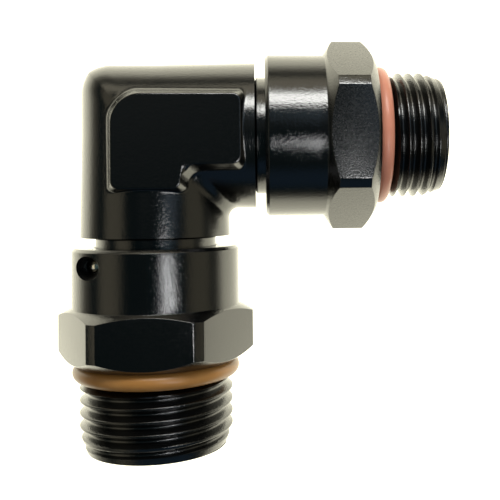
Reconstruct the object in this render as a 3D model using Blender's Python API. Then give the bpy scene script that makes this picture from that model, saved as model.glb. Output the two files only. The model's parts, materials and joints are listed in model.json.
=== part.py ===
"""A right-angle live swivel adapter for hydraulic hose: a forged elbow whose two arms each carry a
hex adapter on a ring of steel balls, so that both threaded ports can turn for ever about their arms.

The part lies on its side. +X runs along the side port, -Y along the lower port and +Z up. The two
port axes meet at the elbow's centre, half a hex above the ground, and the origin is on the ground
under the middle of the part. Lengths are in metres. A turned piece is drawn as a profile of
(radius, distance from the elbow's centre along its own port axis).
"""

import math

import bmesh
import bpy
from mathutils import Matrix, Vector

# How finely the round forms are cut. The hex corners lie on the middles of facets.
SEGMENTS = 42
SEAL_SEGMENTS = 36
HEX_CORNER_ANGLE = math.radians(30)
CORNER_STEPS = 7

# The forged elbow.
ARM_LENGTH = 0.0149
ARM_END_RADIUS = 0.0109
ARM_CORNER_RADIUS = 0.0106
OUTER_BEND_RADIUS = 0.0045
CROTCH_BEND_RADIUS = 0.0015
PASSAGE_RADIUS = 0.0059
DRILL_OVERRUN = 0.003
DRILL_POINT_ANGLE = math.radians(118)

# The flat pads that the forging die leaves on the front and the back of the elbow.
PAD_RISE = 0.00035
PAD_HALF_WIDTH = 0.00475
PAD_SIDE_LENGTH = 0.0125
PAD_LOWER_LENGTH = 0.0081
PAD_BEND_RADIUS = 0.0042
PAD_END_RADIUS = 0.0011
PAD_NOTCH_RADIUS = 0.002
PAD_WALL_LEAN = 0.43
PAD_DEPTH = 0.0031

# The turned journals at the ends of the arms, and the running fits around them.
JOURNAL_RADIUS = 0.00878
JOURNAL_LENGTH = 0.012
JOURNAL_CHAMFER = 0.0004
RUNNING_CLEARANCE = 0.0001
END_CLEARANCE = 0.0003

# The ball race: full circles of 7/64 in balls, half in the journal and half in the skirt.
BALL_RADIUS = 0.001389
BALL_CLEARANCE = 0.00006
RACE_FROM_RIM = 0.0025
RACE_STEPS = 6
LOWER_BALL_START = math.radians(64)
SIDE_BALL_START = math.radians(4)

# The hole that the balls are fed through, tapered, and closed down at its inner end.
LOADING_MOUTH_RADIUS = 0.00168
LOADING_THROAT_RADIUS = 0.00095
LOADING_OFFSET = 0.0085

# The seal on each journal: an O-ring and the stiff ring that backs it.
SEAL_GROOVE_GAP = 0.0015
SEAL_GROOVE_DEPTH = 0.0015
O_RING_SECTION_RADIUS = 0.0007
BACKUP_RING_WIDTH = 0.0011
SEAL_SIDE_CLEARANCE = 0.0002

# The adapters that turn on the journals. Both share the skirt and the hex.
SKIRT_GAP = 0.0015
SKIRT_RADIUS = 0.01215
SKIRT_LENGTH = 0.00865
SKIRT_RIM_CHAMFER = 0.00045
HEX_FLATS = 0.0254
HEX_CORNER_RADIUS = 0.01425
HEX_LENGTH = 0.00795
HEX_SKIRT_CHAMFER = 0.00112
HEX_FACE_RADIUS = 0.01195
HEX_FACE_CHAMFER = 0.0016

# The threaded studs: 7/8-14 below and 3/4-16 at the side, drawn plain at the crests' size.
LOWER_THREAD_RADIUS = 0.01105
LOWER_STUD_LENGTH = 0.0126
SIDE_THREAD_RADIUS = 0.00945
SIDE_STUD_LENGTH = 0.0098
THREAD_LEAD_IN = 0.0028
THREAD_LEAD_DROP = 0.00095
THREAD_RUN_OUT = 0.0009
BORE_EDGE_CHAMFER = 0.0004

# The port O-rings that seal each stud in its port.
LOWER_PORT_SEAL_SECTION = 0.0024
LOWER_PORT_SEAL_RADIUS = 0.01207
SIDE_PORT_SEAL_SECTION = 0.0021
SIDE_PORT_SEAL_RADIUS = 0.01038
PORT_SEAL_CLEARANCE = 0.00006

# Stations along a port axis that follow from the sizes above.
SKIRT_START = ARM_LENGTH + SKIRT_GAP
HEX_START = SKIRT_START + SKIRT_LENGTH
HEX_END = HEX_START + HEX_LENGTH
RACE_STATION = SKIRT_START + RACE_FROM_RIM
JOURNAL_END = ARM_LENGTH + JOURNAL_LENGTH
COUNTERBORE_END = JOURNAL_END + END_CLEARANCE
BALL_PITCH_RADIUS = JOURNAL_RADIUS + RUNNING_CLEARANCE / 2
RACE_GROOVE_RADIUS = BALL_RADIUS + BALL_CLEARANCE
GROOVE_START = RACE_STATION + RACE_GROOVE_RADIUS + SEAL_GROOVE_GAP
GROOVE_LENGTH = 2 * O_RING_SECTION_RADIUS + BACKUP_RING_WIDTH + 3 * SEAL_SIDE_CLEARANCE
LOWER_REACH = HEX_END + LOWER_STUD_LENGTH
SIDE_REACH = HEX_END + SIDE_STUD_LENGTH
CORNER_REACH = HEX_CORNER_RADIUS * math.cos(math.pi / SEGMENTS)
ELBOW_CENTRE = Vector(
    ((CORNER_REACH - SIDE_REACH) / 2, (LOWER_REACH - CORNER_REACH) / 2, HEX_FLATS / 2)
)


def clear_scene():
    for item in list(bpy.data.objects):
        bpy.data.objects.remove(item, do_unlink=True)


def material(name, colour, roughness, metallic):
    """A plain Principled material; the colour is linear RGB."""
    made = bpy.data.materials.new(name)
    made.use_nodes = True
    shader = made.node_tree.nodes["Principled BSDF"]
    shader.inputs["Base Color"].default_value = (*colour, 1)
    shader.inputs["Roughness"].default_value = roughness
    shader.inputs["Metallic"].default_value = metallic
    return made


def empty(name, parent=None, matrix=None):
    made = bpy.data.objects.new(name, None)
    bpy.context.collection.objects.link(made)
    made.parent = parent
    made.matrix_local = matrix or Matrix.Identity(4)
    return made


def place(name, mesh, parent, finish):
    made = bpy.data.objects.new(name, mesh)
    bpy.context.collection.objects.link(made)
    made.parent = parent
    if not mesh.materials:
        mesh.materials.append(finish)
    return made


def as_cutter(item):
    item.hide_render = True
    item.display_type = "WIRE"
    return item


def finished_mesh(name, work, sharp_angle=math.radians(28)):
    """The bmesh as a closed mesh that faces outwards and is shaded smooth between its sharp edges."""
    bmesh.ops.remove_doubles(work, verts=work.verts, dist=1e-7)
    bmesh.ops.recalc_face_normals(work, faces=work.faces)
    mesh = bpy.data.meshes.new(name)
    work.to_mesh(mesh)
    work.free()
    mesh.shade_smooth()
    mesh.set_sharp_from_angle(angle=sharp_angle)
    return mesh


def turned(name, profile, segments=SEGMENTS, closed=True):
    """A profile of (radius, station) points turned about +Z. An open one starts and ends on the axis."""
    work = bmesh.new()
    turn = Matrix.Rotation(HEX_CORNER_ANGLE + math.pi / segments, 3, "Z")
    ring = [work.verts.new(turn @ Vector((radius, 0, station))) for radius, station in profile]
    edges = [work.edges.new(pair) for pair in zip(ring, ring[1:])]
    if closed:
        edges.append(work.edges.new((ring[-1], ring[0])))
    bmesh.ops.spin(
        work,
        geom=ring + edges,
        cent=(0, 0, 0),
        axis=(0, 0, 1),
        angle=2 * math.pi,
        steps=segments,
        use_merge=True,
    )
    return finished_mesh(name, work)


def boolean(target, tool, operation):
    made = target.modifiers.new(tool.name, "BOOLEAN")
    made.operation = operation
    made.solver = "EXACT"
    made.object = tool


def race_arc(side):
    """The half circle of the ball race in a wall: side +1 in the skirt's bore, -1 in the journal."""
    wall = BALL_PITCH_RADIUS + side * RUNNING_CLEARANCE / 2
    reach = math.acos(RUNNING_CLEARANCE / 2 / RACE_GROOVE_RADIUS)
    angles = [reach * (1 - 2 * step / RACE_STEPS) for step in range(RACE_STEPS + 1)]
    points = [
        (
            BALL_PITCH_RADIUS + side * RACE_GROOVE_RADIUS * math.cos(angle),
            RACE_STATION - RACE_GROOVE_RADIUS * math.sin(angle),
        )
        for angle in angles
    ]
    points[0] = (wall, points[0][1])
    points[-1] = (wall, points[-1][1])
    return points


def elbow_skin():
    """The outside of the forging: circles that run round the bend, tight at the crotch and wide outside."""
    work = bmesh.new()
    rows = []
    for column in range(SEGMENTS):
        angle = 2 * math.pi * (column + 0.5) / SEGMENTS
        across, up = math.cos(angle), math.sin(angle)
        offset, height = ARM_CORNER_RADIUS * across, ARM_CORNER_RADIUS * up
        share = max(across, 0.0) ** 3
        bend = CROTCH_BEND_RADIUS + (OUTER_BEND_RADIUS - CROTCH_BEND_RADIUS) * share
        line = [(ARM_LENGTH, ARM_END_RADIUS * across, ARM_END_RADIUS * up)]
        for step in range(CORNER_STEPS + 1):
            turn = math.pi / 2 * (1 + step / CORNER_STEPS)
            line.append(
                (
                    bend - offset + bend * math.cos(turn),
                    offset - bend + bend * math.sin(turn),
                    height,
                )
            )
        line.append((-ARM_END_RADIUS * across, -ARM_LENGTH, ARM_END_RADIUS * up))
        rows.append([work.verts.new(point) for point in line])
    for near, far in zip(rows, rows[1:] + rows[:1]):
        for index in range(len(near) - 1):
            work.faces.new((near[index], near[index + 1], far[index + 1], far[index]))
    work.faces.new([line[0] for line in rows])
    work.faces.new([line[-1] for line in rows])
    return finished_mesh("elbow_skin", work)


def rounded_outline(corners):
    """The points round a plan outline. Each corner is (x, y, radius), taken anticlockwise."""
    points = []
    for index, (x, y, radius) in enumerate(corners):
        here = Vector((x, y))
        before = (Vector(corners[index - 1][:2]) - here).normalized()
        after = (Vector(corners[(index + 1) % len(corners)][:2]) - here).normalized()
        centre = here + radius * (before + after)
        for step in range(CORNER_STEPS + 1):
            turn = math.pi / 2 * step / CORNER_STEPS
            points.append(centre - radius * (after * math.cos(turn) + before * math.sin(turn)))
    return points


def pad_outline(spread):
    """The L of the pad, spread outwards by the lean of its walls."""
    wide = PAD_HALF_WIDTH + spread
    side = PAD_SIDE_LENGTH + spread
    low = PAD_LOWER_LENGTH + spread
    end = PAD_END_RADIUS + spread
    return rounded_outline(
        [
            (-wide, wide, PAD_BEND_RADIUS + spread),
            (-wide, -low, end),
            (wide, -low, end),
            (wide, -wide, PAD_NOTCH_RADIUS - spread),
            (side, -wide, end),
            (side, wide, end),
        ]
    )


def elbow_pad(name, facing):
    """One pad: an L that stands a little proud of the round arms, on the side that facing gives."""
    work = bmesh.new()
    crown = ARM_END_RADIUS + PAD_RISE
    spread = min(PAD_DEPTH * PAD_WALL_LEAN, PAD_NOTCH_RADIUS * 0.9)
    top = [work.verts.new((*point, facing * crown)) for point in pad_outline(0)]
    foot = [
        work.verts.new((*point, facing * (crown - spread / PAD_WALL_LEAN)))
        for point in pad_outline(spread)
    ]
    for index in range(len(top)):
        after = (index + 1) % len(top)
        work.faces.new((top[index], foot[index], foot[after], top[after]))
    work.faces.new(top)
    work.faces.new(foot)
    return finished_mesh(name, work)


def journal(name):
    """One journal, with its half of the ball race and the groove for its seal."""
    floor = JOURNAL_RADIUS - SEAL_GROOVE_DEPTH
    root = ARM_LENGTH - ARM_END_RADIUS / 2
    profile = [(0, root), (JOURNAL_RADIUS, root)]
    profile += race_arc(-1)
    profile += [
        (JOURNAL_RADIUS, GROOVE_START),
        (floor, GROOVE_START),
        (floor, GROOVE_START + GROOVE_LENGTH),
        (JOURNAL_RADIUS, GROOVE_START + GROOVE_LENGTH),
        (JOURNAL_RADIUS, JOURNAL_END - JOURNAL_CHAMFER),
        (JOURNAL_RADIUS - JOURNAL_CHAMFER, JOURNAL_END),
        (0, JOURNAL_END),
    ]
    return turned(name, profile, closed=False)


def drilled_passage(name):
    """The drill that opens one arm, from beyond its journal to a little past the elbow's centre."""
    tip = PASSAGE_RADIUS / math.tan(DRILL_POINT_ANGLE / 2)
    mouth = JOURNAL_END + END_CLEARANCE
    profile = [
        (0, -DRILL_OVERRUN - tip),
        (PASSAGE_RADIUS, -DRILL_OVERRUN),
        (PASSAGE_RADIUS, mouth),
        (0, mouth),
    ]
    return turned(name, profile, closed=False)


def build_elbow(centre, arms, finish):
    body = place("elbow_body", elbow_skin(), centre, finish)
    for name, facing in (("front_pad", 1), ("back_pad", -1)):
        boolean(body, as_cutter(place(name, elbow_pad(name, facing), centre, finish)), "UNION")
    for side, arm in arms.items():
        shaft = place(f"{side}_journal", journal(f"{side}_journal"), arm, finish)
        boolean(body, as_cutter(shaft), "UNION")
    for side, arm in arms.items():
        drill = place(f"{side}_drill", drilled_passage(f"{side}_drill"), arm, finish)
        boolean(body, as_cutter(drill), "DIFFERENCE")


def adapter_profile(thread, stud, neck, neck_length):
    """An adapter's outside from its rim to the end of its stud, then back along its bores."""
    rim = SKIRT_START
    bore = JOURNAL_RADIUS + RUNNING_CLEARANCE
    end = HEX_END + stud
    thread_start = HEX_END + neck_length
    outside = [
        (SKIRT_RADIUS - SKIRT_RIM_CHAMFER, rim),
        (SKIRT_RADIUS, rim + SKIRT_RIM_CHAMFER),
        (SKIRT_RADIUS, HEX_START),
        (HEX_CORNER_RADIUS, HEX_START + HEX_SKIRT_CHAMFER),
        (HEX_CORNER_RADIUS, HEX_END - HEX_FACE_CHAMFER),
        (HEX_FACE_RADIUS, HEX_END),
        (neck, HEX_END),
        (neck, thread_start),
        (thread, thread_start + THREAD_RUN_OUT),
        (thread, end - THREAD_LEAD_IN),
        (thread - THREAD_LEAD_DROP, end),
    ]
    inside = [
        (PASSAGE_RADIUS + BORE_EDGE_CHAMFER, end),
        (PASSAGE_RADIUS, end - BORE_EDGE_CHAMFER),
        (PASSAGE_RADIUS, COUNTERBORE_END),
        (bore, COUNTERBORE_END),
    ]
    lip = [(bore, rim + BORE_EDGE_CHAMFER / 2), (bore + BORE_EDGE_CHAMFER / 2, rim)]
    return outside + inside + race_arc(1)[::-1] + lip


def hex_bar(name, length):
    """The hexagon bar that an adapter is turned from, with flats towards its +X and -X."""
    work = bmesh.new()
    bmesh.ops.create_cone(
        work,
        cap_ends=True,
        segments=6,
        radius1=HEX_FLATS / math.sqrt(3),
        radius2=HEX_FLATS / math.sqrt(3),
        depth=length,
        matrix=Matrix.Rotation(HEX_CORNER_ANGLE - math.radians(90), 4, "Z"),
    )
    return finished_mesh(name, work)


def loading_hole(name):
    """The tapered cutter of the ball-loading hole, which meets the race almost along its own circle."""
    surface = math.sqrt(SKIRT_RADIUS**2 - LOADING_OFFSET**2)
    outer_wall = BALL_PITCH_RADIUS + RACE_GROOVE_RADIUS
    throat = math.sqrt(outer_wall**2 - LOADING_OFFSET**2)
    slope = (LOADING_MOUTH_RADIUS - LOADING_THROAT_RADIUS) / (surface - throat)
    start = throat - LOADING_THROAT_RADIUS
    finish = surface + 2 * LOADING_MOUTH_RADIUS
    work = bmesh.new()
    bmesh.ops.create_cone(
        work,
        cap_ends=True,
        segments=20,
        radius1=LOADING_THROAT_RADIUS - slope * (throat - start),
        radius2=LOADING_MOUTH_RADIUS + slope * (finish - surface),
        depth=finish - start,
        matrix=Matrix.Translation((0, 0, (start + finish) / 2)),
    )
    lie_along_x = Matrix.Rotation(math.radians(90), 4, "Y")
    shift = Matrix.Translation((0, LOADING_OFFSET, RACE_STATION))
    bmesh.ops.transform(work, matrix=shift @ lie_along_x, verts=work.verts)
    return finished_mesh(name, work)


def build_adapter(side, turning, hole_turn, thread, stud, seal_radius, seal_section, finishes):
    """One adapter with its port O-ring, on the empty that turns about its port axis."""
    neck = seal_radius - seal_section - PORT_SEAL_CLEARANCE
    neck_length = seal_section + 2 * PORT_SEAL_CLEARANCE
    profile = adapter_profile(thread, stud, neck, neck_length)
    name = f"{side}_adapter"
    body = place(name, turned(name, profile), turning, finishes["anodised"])
    bar_length = 3 * (HEX_END + stud)
    bar = place(f"{side}_hex_bar", hex_bar(f"{side}_hex_bar", bar_length), turning, finishes["anodised"])
    boolean(body, as_cutter(bar), "INTERSECT")
    hole = place(f"{side}_hole", loading_hole(f"{side}_hole"), turning, finishes["anodised"])
    hole.rotation_euler = (0, 0, hole_turn)
    boolean(body, as_cutter(hole), "DIFFERENCE")
    section = seal_section / 2
    centre = (seal_radius - section, HEX_END + PORT_SEAL_CLEARANCE + section)
    name = f"{side}_port_seal"
    place(name, ring_of_round_section(name, centre, section, 10), turning, finishes[f"{side}_rubber"])


def ring_of_round_section(name, centre, section, steps):
    angles = [2 * math.pi * (step + 0.5) / steps for step in range(steps)]
    profile = [
        (centre[0] + section * math.cos(angle), centre[1] + section * math.sin(angle))
        for angle in angles
    ]
    return turned(name, profile, SEAL_SEGMENTS)


def build_journal_seal(side, arm, finishes):
    """The O-ring and its backup ring, in the journal's groove."""
    floor = JOURNAL_RADIUS - SEAL_GROOVE_DEPTH
    middle = floor + (SEAL_GROOVE_DEPTH + RUNNING_CLEARANCE) / 2
    station = GROOVE_START + SEAL_SIDE_CLEARANCE + O_RING_SECTION_RADIUS
    name = f"{side}_journal_o_ring"
    ring = ring_of_round_section(name, (middle, station), O_RING_SECTION_RADIUS, 8)
    place(name, ring, arm, finishes["nitrile"])
    start = station + O_RING_SECTION_RADIUS + SEAL_SIDE_CLEARANCE
    inner, outer = middle - O_RING_SECTION_RADIUS, middle + O_RING_SECTION_RADIUS
    end = start + BACKUP_RING_WIDTH
    profile = [(inner, start), (outer, start), (outer, end), (inner, end)]
    name = f"{side}_journal_backup_ring"
    place(name, turned(name, profile, SEAL_SEGMENTS), arm, finishes["backup"])


def build_balls(side, turning, start, finish):
    """A full circle of balls, as many as fit."""
    work = bmesh.new()
    bmesh.ops.create_icosphere(work, subdivisions=2, radius=BALL_RADIUS)
    mesh = finished_mesh(f"{side}_ball", work, sharp_angle=math.pi)
    count = int(math.pi / math.asin((BALL_RADIUS + BALL_CLEARANCE / 4) / BALL_PITCH_RADIUS))
    for index in range(count):
        angle = start + 2 * math.pi * index / count
        ball = place(f"{side}_ball_{index + 1:02d}", mesh, turning, finish)
        ball.location = (
            BALL_PITCH_RADIUS * math.cos(angle),
            BALL_PITCH_RADIUS * math.sin(angle),
            RACE_STATION,
        )


def main():
    clear_scene()
    finishes = {
        "anodised": material("black_anodised_aluminium", (0.012, 0.013, 0.014), 0.28, 1.0),
        "steel": material("bearing_steel", (0.62, 0.61, 0.59), 0.12, 1.0),
        "lower_rubber": material("tan_fluorocarbon_rubber", (0.3, 0.155, 0.045), 0.5, 0.0),
        "side_rubber": material("salmon_fluorocarbon_rubber", (0.5, 0.2, 0.13), 0.5, 0.0),
        "nitrile": material("black_nitrile_rubber", (0.02, 0.02, 0.02), 0.6, 0.0),
        "backup": material("white_ptfe", (0.8, 0.79, 0.76), 0.4, 0.0),
    }
    centre = empty("elbow_centre", matrix=Matrix.Translation(ELBOW_CENTRE))
    # On each arm's empty, +Z runs out along the port axis and +X stays up.
    lower_frame = Matrix(((0, -1, 0), (0, 0, -1), (1, 0, 0))).to_4x4()
    side_frame = Matrix(((0, 0, 1), (0, -1, 0), (1, 0, 0))).to_4x4()
    arms = {
        "lower": empty("lower_arm_axis", centre, lower_frame),
        "side": empty("side_arm_axis", centre, side_frame),
    }
    build_elbow(centre, arms, finishes["anodised"])
    for side, arm in arms.items():
        build_journal_seal(side, arm, finishes)
    build_balls("lower", empty("lower_ball_orbit", arms["lower"]), LOWER_BALL_START, finishes["steel"])
    build_balls("side", empty("side_ball_orbit", arms["side"]), SIDE_BALL_START, finishes["steel"])
    build_adapter(
        "lower",
        empty("lower_swivel", arms["lower"]),
        0,
        LOWER_THREAD_RADIUS,
        LOWER_STUD_LENGTH,
        LOWER_PORT_SEAL_RADIUS,
        LOWER_PORT_SEAL_SECTION,
        finishes,
    )
    # The side adapter's loading hole has turned away to the underside.
    build_adapter(
        "side",
        empty("side_swivel", arms["side"]),
        math.radians(150),
        SIDE_THREAD_RADIUS,
        SIDE_STUD_LENGTH,
        SIDE_PORT_SEAL_RADIUS,
        SIDE_PORT_SEAL_SECTION,
        finishes,
    )


main()
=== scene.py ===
"""The looks of the swivel adapter: a black anodised elbow, two hex adapters with cut threads, their
rubber O-rings and the steel balls, on a pale floor under soft studio light.

Lengths are in millimetres until a mesh or an object is made. A turned piece is drawn on its own port
axis: its +Z runs out along the port, its +X stays up, and stations count from the elbow's centre.
"""

import json
import math

import bmesh
import bpy
import numpy as np
from mathutils import Matrix, Vector


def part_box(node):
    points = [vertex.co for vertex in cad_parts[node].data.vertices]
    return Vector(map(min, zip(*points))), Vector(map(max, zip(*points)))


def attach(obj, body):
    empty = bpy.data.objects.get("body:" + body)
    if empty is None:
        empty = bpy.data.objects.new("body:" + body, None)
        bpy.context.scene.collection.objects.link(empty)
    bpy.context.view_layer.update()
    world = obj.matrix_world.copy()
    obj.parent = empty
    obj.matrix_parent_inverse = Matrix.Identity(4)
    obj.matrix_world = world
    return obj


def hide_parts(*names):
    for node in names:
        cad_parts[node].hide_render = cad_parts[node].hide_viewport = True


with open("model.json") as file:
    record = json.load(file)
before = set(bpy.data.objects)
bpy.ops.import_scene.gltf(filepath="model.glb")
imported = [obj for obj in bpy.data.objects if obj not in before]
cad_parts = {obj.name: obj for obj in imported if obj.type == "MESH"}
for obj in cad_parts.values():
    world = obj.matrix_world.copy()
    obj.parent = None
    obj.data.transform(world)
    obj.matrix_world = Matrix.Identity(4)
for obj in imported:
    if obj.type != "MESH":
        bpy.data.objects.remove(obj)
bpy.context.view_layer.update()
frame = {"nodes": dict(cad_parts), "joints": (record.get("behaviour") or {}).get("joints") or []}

MM = 0.001

# What the frame says: the elbow's centre, the station where each stud ends and where the skirts start.
JOINTS = {joint["name"]: joint for joint in frame["joints"]}
CENTRE = Vector(JOINTS["lower_swivel"]["pos_m"])
LOWER_END = (CENTRE.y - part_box("lower_adapter")[0][1]) / MM
SIDE_END = (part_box("side_adapter")[1][0] - CENTRE.x) / MM
SKIRT_START = (CENTRE.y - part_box("lower_adapter")[1][1]) / MM

# How each port's own axes lie in the frame.
ARM_FRAMES = {
    "lower": Matrix(((0, -1, 0), (0, 0, -1), (1, 0, 0))).to_4x4(),
    "side": Matrix(((0, 0, 1), (0, -1, 0), (1, 0, 0))).to_4x4(),
}

# The forged elbow. Its bend is tight in the crotch and widens by this power towards the outside.
ARM_LENGTH = 14.9
ARM_END_RADIUS = 10.9
ARM_CORNER_RADIUS = 10.6
OUTER_BEND_RADIUS = 4.5
CROTCH_BEND_RADIUS = 1.5
BEND_POWER = 3

# Its passages, drilled from both ends past the middle with a 118 degree point.
PASSAGE_RADIUS = 5.9
DRILL_OVERRUN = 3.0
DRILL_LEAD = 1
DRILL_POINT_HALF_ANGLE = math.radians(59)

# Its faced ends: what the tool takes off, and the tool.
FACING_ALLOWANCE = 1.0
FACING_TOOL_RADIUS = 30
FACING_TOOL_LENGTH = 10

# The grid that the rough forging is melted on. It keeps the forging under 200,000 triangles.
FORGING_VOXEL = 0.17
FORGING_SMOOTHING = 3

# The pads that the die leaves on the front and the back.
PAD_TOP = 11.25
PAD_HALF_WIDTH = 4.75
PAD_OUTER_LEFT = 4.6
PAD_OUTER_TOP = 4.95
PAD_SIDE_LENGTH = 13.0
PAD_LOWER_LENGTH = 8.1
PAD_BEND_RADIUS = 4.2
PAD_END_RADIUS = 1.1
PAD_NOTCH_RADIUS = 2.3
PAD_WALL_LEAN = 0.38
PAD_EDGE_ROUND = 0.1
PAD_FOOT_FILLET = 0.2

# The rough block under each pad: how deep it starts, as a share of the pad's height, and how much
# wider it is there.
PAD_BLOCK_START = 0.5
PAD_BLOCK_SPREAD = 0.8

# How far a turned edge is broken.
EDGE_BREAK = 0.05

# The journals in the gaps. A thinner root runs a little way into the elbow's arm.
JOURNAL_RADIUS = 8.78
JOURNAL_LENGTH = 12.0
JOURNAL_END = ARM_LENGTH + JOURNAL_LENGTH
JOURNAL_CHAMFER = 0.4
JOURNAL_SINK = 2
ROOT_STEP = 0.5
ROOT_START = -0.05
ROOT_END = 0.25
ROOT_FILLET = 0.1

# The groove for the journal's seal.
SEAL_GROOVE_GAP = 1.5
SEAL_GROOVE_DEPTH = 1.5
SEAL_GROOVE_WIDTH = 3.1

# The adapters: the skirt and its bore, the hexagon and the stud's own bore.
SKIRT_RADIUS = 12.15
SKIRT_RIM_CHAMFER = 0.45
RUNNING_GAP = 0.1
BORE_RADIUS = JOURNAL_RADIUS + RUNNING_GAP
BORE_CHAMFER = 0.2
COUNTERBORE_END = JOURNAL_END + 0.3
HEX_START = SKIRT_START + 8.65
HEX_ENDS = {"lower": HEX_START + 7.95, "side": HEX_START + 7.5}
HEX_HALF_FLATS = 12.7
HEX_CORNER_RADIUS = 14.25
HEX_SKIRT_CHAMFERS = {"lower": 1.12, "side": 1.45}
HEX_FACE_RADIUS = 11.95
HEX_FACE_CHAMFER = 1.6
HEX_EDGE_ROUND = 0.16
STUD_BORE_CHAMFER = 0.4

# The fillets along an adapter: on the skirt's rim, on the hexagon's edges, on its face and at the neck.
RIM_FILLET = 0.06
HEX_FILLET = 0.12
FACE_FILLET = 0.1
NECK_FILLET = 0.15

# Where the columns of points stand round one side of a hexagon, in degrees from the middle of its flat.
# They close up at the corner, and there they are counted from the edge of the flat.
HEX_FLAT_COLUMNS = (*range(0, 22, 2), 22, 23.5, 24.8)
HEX_EDGE_COLUMNS = (-1.2, -0.7, -0.35, 0, 0.35, 0.7, 1.3)
HEX_LAST_COLUMN = 29
HEX_FLAT_MARGIN = 0.4

# The races and their balls.
RACE_STATION = SKIRT_START + 2.5
RACE_GROOVE_RADIUS = 1.449
BALL_RADIUS = 1.389
BALL_PITCH_RADIUS = JOURNAL_RADIUS + RUNNING_GAP / 2
BALL_COUNT = 19

# Extra rows along the skirt, counted from the race, so that the faces round the loading hole are small.
SKIRT_ROWS = (-1.8, -1.2, -0.6, 0, 0.6, 1.2, 1.8, 2.6, 3.6, 4.8)

# The threads: crest radius and pitch. 60 degree flanks, crests an eighth of the pitch wide, and the
# depth of a unified external thread, as a share of the pitch.
THREADS = {"lower": (11.05, 25.4 / 14), "side": (9.45, 25.4 / 16)}
CREST_SHARE = 1 / 8
THREAD_DEPTH = 0.6134
STUD_ENDS = {"lower": LOWER_END, "side": SIDE_END}
THREAD_LEAD_IN = 2.8
THREAD_LEAD_DROP = 0.95
THREAD_RUN_OUT = 0.9

# Turns of the thread that are drawn too many, the first two of them before it starts. Their rows pile
# up at the two ends.
SPARE_TURNS = 3
EARLY_TURNS = 2

# Where the rows of a thread lie within one pitch, with the root's middle at 0 and the crest's at 0.5.
THREAD_ROWS = (0, 0.05, 0.1, 0.16, 0.24, 0.32, 0.4, 0.43, 0.45, 0.5)
THREAD_ROWS += (0.55, 0.57, 0.6, 0.68, 0.76, 0.84, 0.9, 0.95)

# The port O-rings: outer radius and section, and the gap between a ring and the metal.
PORT_SEALS = {"lower": (12.07, 2.4), "side": (10.38, 2.1)}
SEAL_GAP = 0.06

# The ball-loading hole. LOADING_DRAW stretches it across the port, as it looks in the photograph.
LOADING_MOUTH_RADIUS = 1.62
LOADING_THROAT_RADIUS = 1.0
LOADING_OFFSET = 8.73
LOADING_TURNS = {"lower": 0.0, "side": math.radians(150)}
LOADING_DRAW = 1.22

# Columns of points round the turned pieces, and steps round the O-ring's section.
TOOL_COLUMNS = 96
JOURNAL_COLUMNS = 120
HOLE_COLUMNS = 64
SEAL_COLUMNS = 144
SEAL_STEPS = 28
BALL_COLUMNS = 28
BALL_ROWS = 16

# How far each free adapter lay turned when it was photographed.
REST_TURNS = {"lower": 0.0, "side": math.radians(2.6)}

# Where each thread starts, in turns.
THREAD_STARTS = {"lower": -0.21, "side": -0.14}

# How far each circle of balls is turned, so that a ball shows down the lower loading hole.
BALL_TURNS = {"lower": math.radians(-5.9), "side": 0.0}

# The table and the pool of light painted on it: the table glows there itself. Places are counted from the
# elbow's centre.
# The side hex lay a little turned, on one corner, so the table is that much lower than its flats.
TABLE_DROP = 0.3
TABLE_REACH = 4000.0
POOL_CENTRE = (14, -6)
POOL_RADIUS = 48
POOL_FADE = 60
POOL_DEPTH_SHARE = 0.85
POOL_GLOW = 2.05
FAR_GLOW = 0.13

# The lights, all soft panels that face the part: place, size, brightness, colour and roll in degrees.
# The two lamps are small and bright, for narrow highlights. The others are wide, for broad reflections.
LIGHTS = {
    "lamp_left": ((36, -28, 110), (16, 9), 22.0, "#FFFFFF", -34),
    "lamp_right": ((57, -49, 110), (32, 13), 20.0, "#FFFFFF", -121),
    "window_strip": ((45, 215, 204), (165, 82), 17.0, "#FFFFFA", 0),
    "window_wall": ((0, 300, 106), (600, 130), 1.4, "#FAEFD2", 0),
    "blue_wall": ((60, -300, 130), (400, 170), 0.16, "#7FA8E0", 0),
    "left_wall": ((-300, -30, 190), (800, 200), 0.55, "#FFF0CC", 0),
    "right_wall": ((300, -40, 130), (260, 200), 0.4, "#FFEFC8", 0),
    "ceiling_right": ((150, 115, 300), (260, 190), 0.6, "#C4DAF0", 0),
    "ceiling_left": ((-60, 100, 300), (140, 170), 0.075, "#FFF8F0", 0),
}
ROOM_COLOUR = "#2C3E42"

# The camera, found by fitting its view to the photograph's outline. Its turns are in radians.
CAMERA_PLACE = (15.98, -10.66, 116.87)
CAMERA_TURN = (-0.0283, 0.0858, 0.0116)
FOCAL_PIXELS = 767.7
PICTURE_PIXELS = 500
CENTRE_PIXELS = (79.2, 66.5)


def linear(hex_colour):
    """An sRGB hex colour as linear RGBA."""
    channels = [int(hex_colour[place : place + 2], 16) / 255 for place in (1, 3, 5)]
    return [c / 12.92 if c <= 0.04045 else ((c + 0.055) / 1.055) ** 2.4 for c in channels] + [1]


def add(tree, kind, settings=None, links=None):
    """A node of that kind, with its settings, its constant inputs and its links from other sockets."""
    node = tree.nodes.new(kind)
    for key, value in (settings or {}).items():
        if key in node.inputs:
            node.inputs[key].default_value = value
        else:
            setattr(node, key, value)
    for key, socket in (links or {}).items():
        tree.links.new(socket, node.inputs[key])
    return node


def new_material(name, settings):
    """A material with a Principled shader, and the tree and shader to build on."""
    made = bpy.data.materials.new(name)
    made.use_nodes = True
    tree = made.node_tree
    shader = tree.nodes["Principled BSDF"]
    for key, value in settings.items():
        shader.inputs[key].default_value = value
    return made, tree, shader


def per_mm(size):
    """The scale of a texture whose features are that many millimetres across."""
    return 1 / (size * MM)


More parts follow.
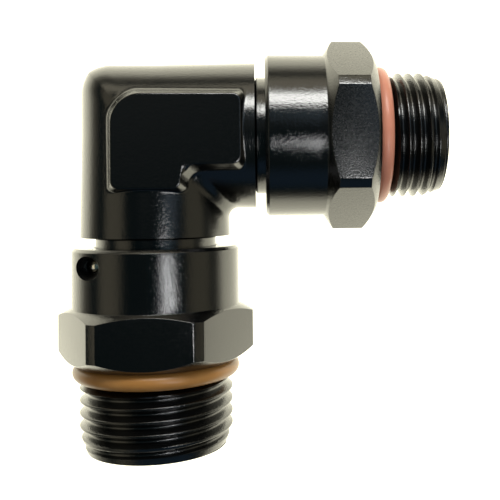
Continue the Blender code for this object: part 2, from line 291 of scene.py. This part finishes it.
def black_anodise(name, roughness, marks, marks_depth, grit_size, grit_depth):
    """Black anodised aluminium. The oxide is a clear hard glaze over dyed metal, so the eye sees a deep
    black with crisp reflections, broken up by the marks of how the metal below was made.

    Sizes are in millimetres. marks is the size of a tool mark: across, across, and along the port.
    """
    made, tree, shader = new_material(
        name, {"Base Color": linear("#050505"), "Roughness": roughness, "IOR": 1.65}
    )
    place = add(tree, "ShaderNodeTexCoord")
    stretched = add(
        tree,
        "ShaderNodeMapping",
        {"Scale": [per_mm(size) for size in marks]},
        {"Vector": place.outputs["Object"]},
    )
    tool_marks = add(
        tree,
        "ShaderNodeTexNoise",
        {"Scale": 1.0, "Detail": 3.0, "Roughness": 0.6},
        {"Vector": stretched.outputs["Vector"]},
    )
    # The etch before the dye bath leaves pits of about 0.02 mm. They are drawn ten times coarser or
    # more, so that they show: they break a highlight up into bright grains.
    grit = add(
        tree,
        "ShaderNodeTexNoise",
        {"Scale": per_mm(grit_size), "Detail": 2.0, "Roughness": 0.7},
        {"Vector": place.outputs["Object"]},
    )
    # The gloss varies with the grit by about a third each way, so that a highlight's edge breaks up.
    rough = add(
        tree,
        "ShaderNodeMapRange",
        {"From Min": 0.3, "From Max": 0.7, "To Min": roughness * 0.7, "To Max": roughness * 1.35},
        {"Value": grit.outputs["Fac"]},
    )
    marked = add(
        tree,
        "ShaderNodeBump",
        {"Distance": marks_depth * MM, "Strength": 1.0},
        {"Height": tool_marks.outputs["Fac"]},
    )
    pitted = add(
        tree,
        "ShaderNodeBump",
        {"Distance": grit_depth * MM, "Strength": 1.0},
        {"Height": grit.outputs["Fac"], "Normal": marked.outputs["Normal"]},
    )
    tree.links.new(rough.outputs["Result"], shader.inputs["Roughness"])
    tree.links.new(pitted.outputs["Normal"], shader.inputs["Normal"])
    return made


def rubber(name, pale, deep, roughness):
    """Moulded fluorocarbon rubber: a warm skin with a soft sheen and a faint mottle."""
    made, tree, shader = new_material(
        name, {"Roughness": roughness, "IOR": 1.42, "Subsurface Weight": 0.06}
    )
    shader.inputs["Subsurface Radius"].default_value = (0.6 * MM, 0.35 * MM, 0.2 * MM)
    shader.inputs["Subsurface Scale"].default_value = 1.0
    place = add(tree, "ShaderNodeTexCoord")
    # The compound's flow leaves a mottle of a millimetre or two.
    mottle = add(
        tree,
        "ShaderNodeTexNoise",
        {"Scale": per_mm(1.6), "Detail": 4.0},
        {"Vector": place.outputs["Object"]},
    )
    # The mix node's sockets 6 and 7 are its two colours, and its output 2 is the mixed one.
    colour = add(tree, "ShaderNodeMix", {"data_type": "RGBA"}, {0: mottle.outputs["Fac"]})
    colour.inputs[6].default_value = linear(deep)
    colour.inputs[7].default_value = linear(pale)
    tree.links.new(colour.outputs[2], shader.inputs["Base Color"])
    # The mould's own finish is finer than this. It is drawn coarser so that it shows.
    skin = add(
        tree,
        "ShaderNodeTexNoise",
        {"Scale": per_mm(0.2), "Detail": 2.0},
        {"Vector": place.outputs["Object"]},
    )
    bump = add(tree, "ShaderNodeBump", {"Distance": 0.004 * MM}, {"Height": skin.outputs["Fac"]})
    tree.links.new(bump.outputs["Normal"], shader.inputs["Normal"])
    return made


def plain(name, settings):
    """A finish for a piece that is hidden inside, or nearly: its colour and gloss are enough."""
    return new_material(name, settings)[0]


def make_materials():
    """The finishes. A black anodise takes its roughness, the size and depth of its tool marks, and the
    size and depth of its grit."""
    return {
        # The die leaves a softly rolling skin, so reflections wander a little and sparkle in grains.
        "forged": black_anodise("forged_black_anodise", 0.14, (1.3, 1.3, 1.3), 0.014, 0.26, 0.025),
        # The lathe leaves fine rings round the port, so a highlight draws out into a grainy band.
        "turned": black_anodise("turned_black_anodise", 0.1, (3.0, 3.0, 0.12), 0.002, 0.26, 0.03),
        # Bar drawn through a die keeps fine lines along its flats, which makes them satin.
        "lower_flats": black_anodise("drawn_black_anodise", 0.17, (0.16, 0.16, 9.0), 0.006, 0.3, 0.016),
        # The side hexagon's flats are rougher, so the eye sees a grey, grainy sheen.
        "side_flats": black_anodise("stamped_black_anodise", 0.25, (0.16, 0.16, 9.0), 0.003, 0.26, 0.03),
        # The threading tool tears a little, so the flanks glint in short strokes.
        "threaded": black_anodise("thread_cut_black_anodise", 0.16, (0.5, 0.5, 0.12), 0.008, 0.2, 0.03),
        # A drill leaves long scratches and a duller wall.
        "drilled": black_anodise("drilled_black_anodise", 0.3, (0.1, 0.1, 2.5), 0.008, 0.2, 0.01),
        # Warm and dull beside the black metal.
        "lower_rubber": rubber("tan_fluorocarbon_rubber", "#AA7A42", "#9A6B38", 0.34),
        "side_rubber": rubber("salmon_fluorocarbon_rubber", "#D08C74", "#C17C66", 0.34),
        # Bright polished metal, of which only a glint shows down the loading hole.
        "steel": plain(
            "polished_bearing_steel",
            {"Base Color": linear("#F4F0E4"), "Metallic": 1.0, "Roughness": 0.18},
        ),
        "nitrile": plain("black_nitrile_rubber", {"Base Color": linear("#1A1A1A"), "Roughness": 0.6}),
        "ptfe": plain("white_ptfe", {"Base Color": linear("#ECEAE4"), "Roughness": 0.4}),
    }


def mesh_object(name, points, faces, finishes, finish_of=None, sharp=None):
    """A mesh of points in millimetres, with a finish for each face."""
    mesh = bpy.data.meshes.new(name)
    mesh.from_pydata([tuple(point) for point in np.asarray(points) * MM], [], faces)
    for finish in finishes:
        mesh.materials.append(finish)
    if finish_of is not None:
        mesh.polygons.foreach_set("material_index", finish_of)
    work = bmesh.new()
    work.from_mesh(mesh)
    bmesh.ops.remove_doubles(work, verts=work.verts, dist=1e-8)
    bmesh.ops.dissolve_degenerate(work, edges=work.edges, dist=1e-8)
    bmesh.ops.recalc_face_normals(work, faces=work.faces)
    work.to_mesh(mesh)
    work.free()
    mesh.shade_smooth()
    if sharp:
        mesh.set_sharp_from_angle(angle=math.radians(sharp))
    made = bpy.data.objects.new(name, mesh)
    bpy.context.collection.objects.link(made)
    return made


def on_port(made, side):
    """Places a piece that was drawn on a port axis."""
    made.matrix_world = Matrix.Translation(CENTRE) @ ARM_FRAMES[side]
    return made


def filleted(corners, steps=3):
    """The points of an open profile whose corners are (radius, station, fillet radius)."""
    points = []
    for index, (radius, station, fillet) in enumerate(corners):
        here = Vector((radius, station))
        if not fillet or index in (0, len(corners) - 1):
            points.append(here)
            continue
        before = Vector(corners[index - 1][:2]) - here
        after = Vector(corners[index + 1][:2]) - here
        half = before.angle(after) / 2
        reach = min(fillet / math.tan(half), before.length * 0.45, after.length * 0.45)
        start, end = here + before.normalized() * reach, here + after.normalized() * reach
        for step in range(steps + 1):
            share = step / steps
            points.append(start.lerp(here, share).lerp(here.lerp(end, share), share))
    return points


def lathe(name, loop, count, finishes, sharp=None):
    """A turned body from a closed loop of (radius, station)."""
    rows = len(loop)
    points, faces = [], []
    for index in range(count):
        angle = 2 * math.pi * index / count
        across, up = math.cos(angle), math.sin(angle)
        points += [(radius * across, radius * up, station) for radius, station in loop]
        after = (index + 1) % count
        for row in range(rows):
            next_row = (row + 1) % rows
            faces.append(
                (
                    index * rows + row,
                    index * rows + next_row,
                    after * rows + next_row,
                    after * rows + row,
                )
            )
    return mesh_object(name, points, faces, finishes, sharp=sharp)


def rounded_max(first, second, radius):
    """The larger of two distances. Where both are near, the edge between them is rounded."""
    arc = np.sqrt(np.maximum(2 * radius**2 - (first - second) ** 2, 0))
    rounded = radius + (first + second - arc) / 2
    return np.where(np.abs(first - second) < radius, rounded, np.maximum(first, second))


def rounded_min(first, second, radius):
    """The smaller of two distances. Where both are near, the corner between them is filled."""
    return -rounded_max(-first, -second, radius)


def arm_distance(x, y, z):
    """How far a point lies outside the two round arms and the bend between them."""
    along_side, along_lower = y, -x
    outward = np.clip(np.maximum(along_side, along_lower) / ARM_CORNER_RADIUS, 0, 1)
    bend = CROTCH_BEND_RADIUS + (OUTER_BEND_RADIUS - CROTCH_BEND_RADIUS) * outward**BEND_POWER
    across = rounded_max(along_side, along_lower, bend)
    share = np.clip(np.maximum(x, -y) / ARM_LENGTH, 0, 1)
    radius = ARM_CORNER_RADIUS + (ARM_END_RADIUS - ARM_CORNER_RADIUS) * share
    return np.hypot(across, z) - radius


def pad_distance(x, y, z):
    """How far a point lies outside the pads: an L with round corners and leaning walls."""
    left, right = -x - PAD_OUTER_LEFT, x - PAD_HALF_WIDTH
    top, bottom = y - PAD_OUTER_TOP, -y - PAD_HALF_WIDTH
    side_end, lower_end = x - PAD_SIDE_LENGTH, -y - PAD_LOWER_LENGTH
    side_branch = np.maximum(
        rounded_max(side_end, top, PAD_END_RADIUS), rounded_max(side_end, bottom, PAD_END_RADIUS)
    )
    lower_branch = np.maximum(
        rounded_max(lower_end, left, PAD_END_RADIUS), rounded_max(lower_end, right, PAD_END_RADIUS)
    )
    outline = rounded_min(side_branch, lower_branch, PAD_NOTCH_RADIUS)
    outline = np.maximum(outline, rounded_max(left, top, PAD_BEND_RADIUS))
    rise = np.abs(z) - PAD_TOP
    wall = (outline + PAD_WALL_LEAN * rise) / math.hypot(1, PAD_WALL_LEAN)
    return rounded_max(rise, wall, PAD_EDGE_ROUND)


def forging_distance(points):
    """How far each point lies outside the forging, as it leaves the die."""
    x, y, z = points.T
    shape = rounded_min(arm_distance(x, y, z), pad_distance(x, y, z), PAD_FOOT_FILLET)
    return np.maximum(shape, np.maximum(x, -y) - ARM_LENGTH - FACING_ALLOWANCE)


def drawn_to_forging(points, rounds=6, step=0.01, least_slope=0.2, longest_move=0.3):
    """The points, moved straight onto the forging's true surface."""
    for _ in range(rounds):
        away = forging_distance(points)
        slope = np.stack(
            [
                forging_distance(points + shift) - forging_distance(points - shift)
                for shift in np.eye(3) * step
            ],
            axis=1,
        ) / (2 * step)
        steepness = np.maximum((slope**2).sum(axis=1), least_slope)
        points = points - slope * np.clip(away / steepness, -longest_move, longest_move)[:, None]
    return points


def settle(made):
    """Keeps what an object's modifiers make, in place of the modifiers."""
    bpy.context.view_layer.update()
    seen = made.evaluated_get(bpy.context.evaluated_depsgraph_get())
    made.data = bpy.data.meshes.new_from_object(seen)
    made.modifiers.clear()


def crease_between_finishes(mesh):
    """Keeps the edge crisp where a cut meets the forged skin."""
    work = bmesh.new()
    work.from_mesh(mesh)
    for edge in work.edges:
        if len({face.material_index for face in edge.link_faces}) > 1:
            edge.smooth = False
    work.to_mesh(mesh)
    work.free()


def pad_block(facing):
    """Points and faces of a rough block where a pad is to be."""
    low = PAD_TOP * PAD_BLOCK_START
    outline = [
        (-PAD_HALF_WIDTH, PAD_HALF_WIDTH),
        (-PAD_HALF_WIDTH, -PAD_LOWER_LENGTH),
        (PAD_HALF_WIDTH, -PAD_LOWER_LENGTH),
        (PAD_HALF_WIDTH, -PAD_HALF_WIDTH),
        (PAD_SIDE_LENGTH, -PAD_HALF_WIDTH),
        (PAD_SIDE_LENGTH, PAD_HALF_WIDTH),
    ]
    points = [(x, y, facing * PAD_TOP) for x, y in outline]
    points += [
        (x + PAD_BLOCK_SPREAD * np.sign(x), y + PAD_BLOCK_SPREAD * np.sign(y), facing * low)
        for x, y in outline
    ]
    count = len(outline)
    faces = [(i, count + i, count + (i + 1) % count, (i + 1) % count) for i in range(count)]
    faces += [tuple(range(count)), tuple(range(2 * count - 1, count - 1, -1))]
    return points, faces


def rough_forging(count=96, bend_steps=10):
    """Points and faces of the round arms: circles that run round the bend. The arms run past their
    ends, to be faced off."""
    lines = []
    for column in range(count):
        angle = 2 * math.pi * column / count
        across, up = math.cos(angle), math.sin(angle)
        share = max(across, 0) ** BEND_POWER
        bend = CROTCH_BEND_RADIUS + (OUTER_BEND_RADIUS - CROTCH_BEND_RADIUS) * share
        offset, height = ARM_CORNER_RADIUS * across, ARM_CORNER_RADIUS * up
        reach = ARM_LENGTH + FACING_ALLOWANCE
        line = [(reach, ARM_END_RADIUS * across, ARM_END_RADIUS * up)]
        for step in range(bend_steps + 1):
            turn = math.pi / 2 * (1 + step / bend_steps)
            line.append(
                (
                    bend - offset + bend * math.cos(turn),
                    offset - bend + bend * math.sin(turn),
                    height,
                )
            )
        line.append((-ARM_END_RADIUS * across, -reach, ARM_END_RADIUS * up))
        lines.append(line)
    rows = len(lines[0])
    faces = []
    for index in range(count):
        after = (index + 1) % count
        for row in range(rows - 1):
            faces.append(
                (
                    index * rows + row,
                    index * rows + row + 1,
                    after * rows + row + 1,
                    after * rows + row,
                )
            )
    faces.append(tuple(index * rows for index in range(count)))
    faces.append(tuple(index * rows + rows - 1 for index in range(count)))
    return [point for line in lines for point in line], faces


def cutter(made):
    """Hides a body that only cuts others."""
    made.hide_render = True
    made.hide_viewport = True
    made.display_type = "WIRE"
    return made


def modifier(made, kind, **settings):
    """Adds a modifier of that kind, with its settings."""
    added = made.modifiers.new(kind.lower(), kind)
    for key, value in settings.items():
        setattr(added, key, value)
    return added


def cut(made, tool):
    """Takes a tool's body out of a piece. The cut face keeps the tool's finish."""
    modifier(
        made,
        "BOOLEAN",
        operation="DIFFERENCE",
        solver="EXACT",
        object=cutter(tool),
        material_mode="TRANSFER",
    )


def facing_tool(side, finishes):
    """What the lathe takes off the end of an arm."""
    loop = [
        (0, ARM_LENGTH),
        (FACING_TOOL_RADIUS, ARM_LENGTH),
        (FACING_TOOL_RADIUS, ARM_LENGTH + FACING_TOOL_LENGTH),
        (0, ARM_LENGTH + FACING_TOOL_LENGTH),
    ]
    return on_port(lathe(f"{side}_facing_tool", loop, TOOL_COLUMNS, [finishes["turned"]]), side)


def drill_tool(side, finishes):
    """The drill of an arm's passage, with its point past the middle."""
    tip = PASSAGE_RADIUS / math.tan(DRILL_POINT_HALF_ANGLE)
    loop = [
        (0, -DRILL_OVERRUN - tip),
        (PASSAGE_RADIUS, -DRILL_OVERRUN),
        (PASSAGE_RADIUS, ARM_LENGTH + DRILL_LEAD),
        (0, ARM_LENGTH + DRILL_LEAD),
    ]
    made = lathe(f"{side}_drill", loop, TOOL_COLUMNS, [finishes["drilled"]], sharp=30)
    return on_port(made, side)


def build_elbow(finishes):
    """The forging: the arms and the pads melted together with the soft edges of a die, then faced off
    square at the ends and drilled."""
    points, faces = rough_forging()
    for facing in (1, -1):
        pad_points, pad_faces = pad_block(facing)
        shift = len(points)
        points = points + pad_points
        faces = faces + [tuple(shift + index for index in face) for face in pad_faces]
    elbow = mesh_object("elbow_forging", points, faces, [finishes["forged"]])
    elbow.matrix_world = Matrix.Translation(CENTRE)
    modifier(elbow, "REMESH", mode="VOXEL", voxel_size=FORGING_VOXEL * MM, use_smooth_shade=True)
    modifier(elbow, "SMOOTH", factor=0.5, iterations=FORGING_SMOOTHING)
    settle(elbow)
    places = np.empty(len(elbow.data.vertices) * 3)
    elbow.data.vertices.foreach_get("co", places)
    places = drawn_to_forging(places.reshape(-1, 3) / MM) * MM
    elbow.data.vertices.foreach_set("co", places.ravel())
    elbow.data.shade_smooth()
    for side in ARM_FRAMES:
        cut(elbow, facing_tool(side, finishes))
        cut(elbow, drill_tool(side, finishes))
    settle(elbow)
    crease_between_finishes(elbow.data)
    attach(elbow, "elbow")
    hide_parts("elbow_body")
    for side in ARM_FRAMES:
        build_journal(side, finishes)


def build_journal(side, finishes):
    """The turned journal that shows in the gap, with its half of the race and its seal groove."""
    groove = RACE_STATION + RACE_GROOVE_RADIUS + SEAL_GROOVE_GAP
    corners = [
        (PASSAGE_RADIUS, ARM_LENGTH - JOURNAL_SINK, 0),
        (JOURNAL_RADIUS - ROOT_STEP, ARM_LENGTH - JOURNAL_SINK, 0),
        (JOURNAL_RADIUS - ROOT_STEP, ARM_LENGTH + ROOT_START, 0),
        (JOURNAL_RADIUS, ARM_LENGTH + ROOT_END, ROOT_FILLET),
    ]
    corners += [(radius, station, 0) for radius, station in race_arc(-1)]
    corners += [
        (JOURNAL_RADIUS, groove, EDGE_BREAK),
        (JOURNAL_RADIUS - SEAL_GROOVE_DEPTH, groove, 0),
        (JOURNAL_RADIUS - SEAL_GROOVE_DEPTH, groove + SEAL_GROOVE_WIDTH, 0),
        (JOURNAL_RADIUS, groove + SEAL_GROOVE_WIDTH, EDGE_BREAK),
        (JOURNAL_RADIUS, JOURNAL_END - JOURNAL_CHAMFER, EDGE_BREAK),
        (JOURNAL_RADIUS - JOURNAL_CHAMFER, JOURNAL_END, EDGE_BREAK),
        (PASSAGE_RADIUS, JOURNAL_END, 0),
    ]
    profile = filleted(corners)
    made = lathe(f"{side}_journal", profile, JOURNAL_COLUMNS, [finishes["turned"]], sharp=35)
    on_port(made, side)
    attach(made, "elbow")


def race_arc(side, steps=10):
    """The half circle of the ball race: side +1 in the skirt's bore, -1 in the journal."""
    rim = RUNNING_GAP / 2
    points = []
    for step in range(steps + 1):
        angle = math.pi * (0.5 - step / steps)
        points.append(
            (
                BALL_PITCH_RADIUS + side * (rim + (RACE_GROOVE_RADIUS - rim) * math.cos(angle)),
                RACE_STATION - RACE_GROOVE_RADIUS * math.sin(angle),
            )
        )
    return points


def hex_radius(offset):
    """The hexagon's outside at an angle from the middle of a flat, with softened corners."""
    flat = HEX_HALF_FLATS / math.cos(offset)
    gap = HEX_CORNER_RADIUS - flat
    soft = HEX_EDGE_ROUND / 4
    return HEX_CORNER_RADIUS - (gap + math.sqrt(gap * gap + soft * soft)) / 2


def hex_angles(side):
    """Angles round the hexagon, close together at its corners: the angle, its offset from the middle of
    its flat, and whether it lies on the flat."""
    edge = math.degrees(math.acos(HEX_HALF_FLATS / HEX_CORNER_RADIUS))
    half = [*HEX_FLAT_COLUMNS, *(edge + shift for shift in HEX_EDGE_COLUMNS), HEX_LAST_COLUMN]
    offsets = [-angle for angle in reversed(half[1:])] + half + [30]
    angles = []
    for sector in range(6):
        for offset in offsets:
            flat = abs(offset) < edge - HEX_FLAT_MARGIN
            angle = math.radians(60 * sector + offset) + REST_TURNS[side]
            angles.append((angle, math.radians(offset), flat))
    return angles


def thread_profile(distance):
    """Depth below the crest at a distance from the crest's middle. Both are shares of the pitch."""
    flank = (distance - CREST_SHARE / 2) * math.sqrt(3)
    return min(max(flank, 0.0), THREAD_DEPTH)


def thread_column(side, angle, start, end, neck):
    """One column down the thread. Its rows wind with the helix and pile up at both ends."""
    crest, pitch = THREADS[side]
    turns = math.ceil((end - start) / pitch) + SPARE_TURNS
    column = []
    for turn in range(turns):
        for share in THREAD_ROWS:
            turned = turn + share - EARLY_TURNS + angle / (2 * math.pi) + THREAD_STARTS[side] % 1
            station = start + pitch * turned
            station = min(max(station, start), end)
            depth = pitch * thread_profile(abs(share - 0.5))
            run_out = neck + max(station - start, 0) * (crest - neck) / THREAD_RUN_OUT
            lead = crest - max(station - (end - THREAD_LEAD_IN), 0) * THREAD_LEAD_DROP / THREAD_LEAD_IN
            column.append((min(crest - depth, run_out, lead), station))
    return column


def adapter_column(side, angle, offset):
    """One column of an adapter: out along the skirt, over the hexagon, down the thread and back along
    the bores to the rim."""
    end = STUD_ENDS[side]
    outer, section = PORT_SEALS[side]
    neck = outer - section - SEAL_GAP
    hex_end = HEX_ENDS[side]
    thread_start = hex_end + section + 2 * SEAL_GAP
    shape = hex_radius(offset)
    shoulder = (shape - SKIRT_RADIUS) / (HEX_CORNER_RADIUS - SKIRT_RADIUS) * HEX_SKIRT_CHAMFERS[side]
    face = (HEX_CORNER_RADIUS - shape) / (HEX_CORNER_RADIUS - HEX_FACE_RADIUS) * HEX_FACE_CHAMFER
    before = filleted(
        [
            (BORE_RADIUS + BORE_CHAMFER, SKIRT_START, 0),
            (SKIRT_RADIUS - SKIRT_RIM_CHAMFER, SKIRT_START, RIM_FILLET),
            (SKIRT_RADIUS, SKIRT_START + SKIRT_RIM_CHAMFER, HEX_FILLET),
            *[(SKIRT_RADIUS, RACE_STATION + shift, 0) for shift in SKIRT_ROWS],
            (SKIRT_RADIUS, HEX_START, HEX_FILLET),
            (shape, HEX_START + shoulder, HEX_FILLET),
            (shape, hex_end - HEX_FACE_CHAMFER + face, HEX_FILLET),
            (HEX_FACE_RADIUS, hex_end, FACE_FILLET),
            (neck, hex_end, NECK_FILLET),
            (neck, thread_start, 0),
        ]
    )
    thread = thread_column(side, angle, thread_start, end, neck)
    crest = THREADS[side][0]
    after = filleted(
        [
            (crest - THREAD_LEAD_DROP, end, 0),
            (PASSAGE_RADIUS + STUD_BORE_CHAMFER, end, EDGE_BREAK),
            (PASSAGE_RADIUS, end - STUD_BORE_CHAMFER, EDGE_BREAK),
            (PASSAGE_RADIUS, COUNTERBORE_END, 0),
            (BORE_RADIUS, COUNTERBORE_END, 0),
        ]
    )
    after += race_arc(1)[::-1]
    after += [(BORE_RADIUS, SKIRT_START + BORE_CHAMFER)]
    return before, thread, after


def on_hex(column, row, offset, slack=0.02):
    """Whether that row of a column lies on the flat, between the two chamfers."""
    shape = hex_radius(offset)
    return row + 1 < len(column) and all(abs(column[r][0] - shape) < slack for r in (row, row + 1))


def adapter_faces(angles, parts):
    """The faces between an adapter's columns, and for each the number of its finish: 0 turned, 1 on a
    flat, 2 on the thread. The thread's rows wind, so round the port they join up one pitch further on."""
    thread_start = len(parts[0][0])
    thread_end = thread_start + len(parts[0][1])
    rows = thread_end + len(parts[0][2])
    count = len(angles)
    faces, picked = [], []
    for index, (_, offset, flat) in enumerate(angles):
        after = (index + 1) % count
        for row in range(rows):
            next_row = (row + 1) % rows
            pair = [row, next_row]
            if after == 0:
                pair = [
                    min(r + len(THREAD_ROWS), thread_end - 1) if thread_start <= r < thread_end else r
                    for r in pair
                ]
            faces.append(
                (
                    index * rows + row,
                    index * rows + next_row,
                    after * rows + pair[1],
                    after * rows + pair[0],
                )
            )
            if thread_start <= row < thread_end - 1:
                picked.append(2)
            elif flat and on_hex(parts[index][0], row, offset):
                picked.append(1)
            else:
                picked.append(0)
    return faces, picked


def build_adapter(side, finishes):
    """A hex adapter in one closed mesh, with its thread cut and its loading hole drilled."""
    angles = hex_angles(side)
    parts = [adapter_column(side, angle, offset) for angle, offset, _ in angles]
    points = [
        (radius * math.cos(angle), radius * math.sin(angle), station)
        for (angle, _, _), part in zip(angles, parts)
        for radius, station in part[0] + part[1] + part[2]
    ]
    faces, picked = adapter_faces(angles, parts)
    materials = [finishes["turned"], finishes[f"{side}_flats"], finishes["threaded"]]
    made = mesh_object(f"{side}_hex_adapter", points, faces, materials, picked, sharp=40)
    on_port(made, side)
    cut(made, loading_hole_tool(side, finishes))
    settle(made)
    made.data.set_sharp_from_angle(angle=math.radians(40))
    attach(made, f"{side}_adapter")
    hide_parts(f"{side}_adapter")


def loading_hole_tool(side, finishes):
    """The tool of the tapered hole that the balls were fed through."""
    surface = math.sqrt(SKIRT_RADIUS**2 - LOADING_OFFSET**2)
    outer_wall = BALL_PITCH_RADIUS + RACE_GROOVE_RADIUS
    throat = math.sqrt(outer_wall**2 - LOADING_OFFSET**2)
    slope = (LOADING_MOUTH_RADIUS - LOADING_THROAT_RADIUS) / (surface - throat)
    start, finish = throat - LOADING_THROAT_RADIUS, surface + 2 * LOADING_MOUTH_RADIUS
    loop = [
        (0, start),
        (LOADING_THROAT_RADIUS - slope * (throat - start), start),
        (LOADING_MOUTH_RADIUS + slope * (finish - surface), finish),
        (0, finish),
    ]
    made = lathe(f"{side}_hole_tool", loop, HOLE_COLUMNS, [finishes["drilled"]], sharp=30)
    on_port(made, side)
    turn = Matrix.Rotation(LOADING_TURNS[side], 4, "Z")
    shift = Matrix.Translation(Vector((0, LOADING_OFFSET, RACE_STATION)) * MM)
    lie = Matrix.Rotation(math.pi / 2, 4, "Y")
    draw = Matrix.Diagonal((1, LOADING_DRAW, 1, 1))
    made.matrix_world = made.matrix_world @ turn @ shift @ draw @ lie
    return made


def build_port_seal(side, finishes):
    """The port O-ring, round the neck between the hexagon's face and the thread."""
    outer, section = PORT_SEALS[side]
    radius = section / 2
    middle = (outer - radius, HEX_ENDS[side] + SEAL_GAP + radius)
    loop = []
    for step in range(SEAL_STEPS):
        angle = 2 * math.pi * step / SEAL_STEPS
        loop.append((middle[0] + radius * math.cos(angle), middle[1] + radius * math.sin(angle)))
    made = lathe(f"{side}_port_o_ring", loop, SEAL_COLUMNS, [finishes[f"{side}_rubber"]])
    on_port(made, side)
    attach(made, f"{side}_adapter")
    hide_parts(f"{side}_port_seal")


def build_balls(side, finishes):
    """Smooth balls, each in the place of its CAD ball. The whole circle is then turned."""
    turn = Matrix.Rotation(BALL_TURNS[side], 4, "Z")
    for index in range(1, BALL_COUNT + 1):
        node = f"{side}_ball_{index:02d}"
        low, high = (Vector(corner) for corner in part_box(node))
        work = bmesh.new()
        bmesh.ops.create_uvsphere(
            work, u_segments=BALL_COLUMNS, v_segments=BALL_ROWS, radius=BALL_RADIUS * MM
        )
        mesh = bpy.data.meshes.new(f"{side}_race_ball_{index:02d}")
        work.to_mesh(mesh)
        work.free()
        mesh.shade_smooth()
        mesh.materials.append(finishes["steel"])
        made = bpy.data.objects.new(f"{side}_race_ball_{index:02d}", mesh)
        bpy.context.collection.objects.link(made)
        on_port(made, side)
        place = made.matrix_world.inverted() @ ((low + high) / 2)
        made.matrix_world = made.matrix_world @ turn @ Matrix.Translation(place)
        bpy.context.view_layer.update()
        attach(made, f"{side}_balls")
        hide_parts(node)


def paint_hidden_seals(finishes):
    """Gives the seals inside the skirts, which stay the CAD's own, their finishes."""
    for side in ARM_FRAMES:
        for node, finish in (("journal_o_ring", "nitrile"), ("journal_backup_ring", "ptfe")):
            for place in frame["nodes"][f"{side}_{node}"].material_slots:
                place.material = finishes[finish]


def painted_pool_floor_finish():
    """A matt pale sheet with a painted pool of light: it glows near the part, as a lit sheet does, and
    dims further off.
    """
    finish, tree, shader = new_material(
        "pale_floor_with_painted_light",
        {
            "Base Color": linear("#9C968A"),
            "Roughness": 0.9,
            "Emission Color": linear("#FFFBE2"),
        },
    )
    place = add(tree, "ShaderNodeTexCoord")
    shift = add(
        tree,
        "ShaderNodeMapping",
        {
            "Location": (-POOL_CENTRE[0] * MM, -POOL_CENTRE[1] * POOL_DEPTH_SHARE * MM, 0),
            "Scale": (1, POOL_DEPTH_SHARE, 1),
        },
        {"Vector": place.outputs["Object"]},
    )
    away = add(tree, "ShaderNodeVectorMath", {"operation": "LENGTH"}, {0: shift.outputs["Vector"]})
    glow = add(
        tree,
        "ShaderNodeMapRange",
        {
            "interpolation_type": "SMOOTHSTEP",
            "From Min": POOL_RADIUS * MM,
            "From Max": (POOL_RADIUS + POOL_FADE) * MM,
            "To Min": POOL_GLOW,
            "To Max": FAR_GLOW,
        },
        {"Value": away.outputs["Value"]},
    )
    # Painted light: the sheet's own emission makes the pool of light, brightest near the part and fading
    # further off.
    tree.links.new(glow.outputs["Result"], shader.inputs["Emission Strength"])
    return finish


def build_floor():
    """The table that the part lies on."""
    reach = TABLE_REACH * MM
    corners = [(-reach, -reach, 0), (reach, -reach, 0), (reach, reach, 0), (-reach, reach, 0)]
    mesh = bpy.data.meshes.new("pale_floor_with_painted_light")
    mesh.from_pydata(corners, [], [(0, 1, 2, 3)])
    mesh.materials.append(painted_pool_floor_finish())
    made = bpy.data.objects.new("pale_floor_with_painted_light", mesh)
    bpy.context.collection.objects.link(made)
    made.location = (CENTRE.x, CENTRE.y, -TABLE_DROP * MM)


def area_light(name, place, size, radiance, colour, roll):
    """A soft panel that faces the part, as bright as radiance says seen head-on."""
    light = bpy.data.lights.new(name, "AREA")
    light.shape = "RECTANGLE"
    light.size, light.size_y = size[0] * MM, size[1] * MM
    light.color = linear(colour)[:3]
    light.energy = radiance * math.pi * light.size * light.size_y
    made = bpy.data.objects.new(name, light)
    bpy.context.collection.objects.link(made)
    made.location = CENTRE + Vector(place) * MM
    aim = (-Vector(place)).to_track_quat("-Z", "Y").to_matrix()
    made.rotation_euler = (aim @ Matrix.Rotation(math.radians(roll), 3, "Z")).to_euler()
    made.visible_camera = False


def build_lights():
    """The panels, and a dim room round them."""
    for name, settings in LIGHTS.items():
        area_light(name, *settings)
    world = bpy.data.worlds.new("dim_room")
    world.use_nodes = True
    background = world.node_tree.nodes["Background"]
    background.inputs["Color"].default_value = linear(ROOM_COLOUR)
    background.inputs["Strength"].default_value = 1.0
    bpy.context.scene.world = world


def build_camera():
    """The photograph's view. The picture is a crop beside the middle of a wider one, hence the shifts."""
    camera = bpy.data.cameras.new("photograph_view")
    camera.sensor_width = 36.0
    camera.lens = FOCAL_PIXELS / PICTURE_PIXELS * camera.sensor_width
    camera.shift_x = -CENTRE_PIXELS[0] / PICTURE_PIXELS
    camera.shift_y = -CENTRE_PIXELS[1] / PICTURE_PIXELS
    camera.clip_start = 5 * MM
    made = bpy.data.objects.new("photograph_view", camera)
    bpy.context.collection.objects.link(made)
    tilt, pan, roll = CAMERA_TURN
    turn = (
        Matrix.Rotation(roll, 3, "Z") @ Matrix.Rotation(pan, 3, "Y") @ Matrix.Rotation(tilt, 3, "X")
    ).transposed()
    made.matrix_world = Matrix.Translation(CENTRE + Vector(CAMERA_PLACE) * MM) @ turn.to_4x4()
    bpy.context.scene.camera = made


def main():
    """Builds the pieces, then the stage."""
    finishes = make_materials()
    build_elbow(finishes)
    for side in ARM_FRAMES:
        build_adapter(side, finishes)
        build_port_seal(side, finishes)
        build_balls(side, finishes)
    paint_hidden_seals(finishes)
    build_floor()
    build_lights()
    build_camera()
    bpy.context.scene.view_settings.view_transform = "Standard"


main()
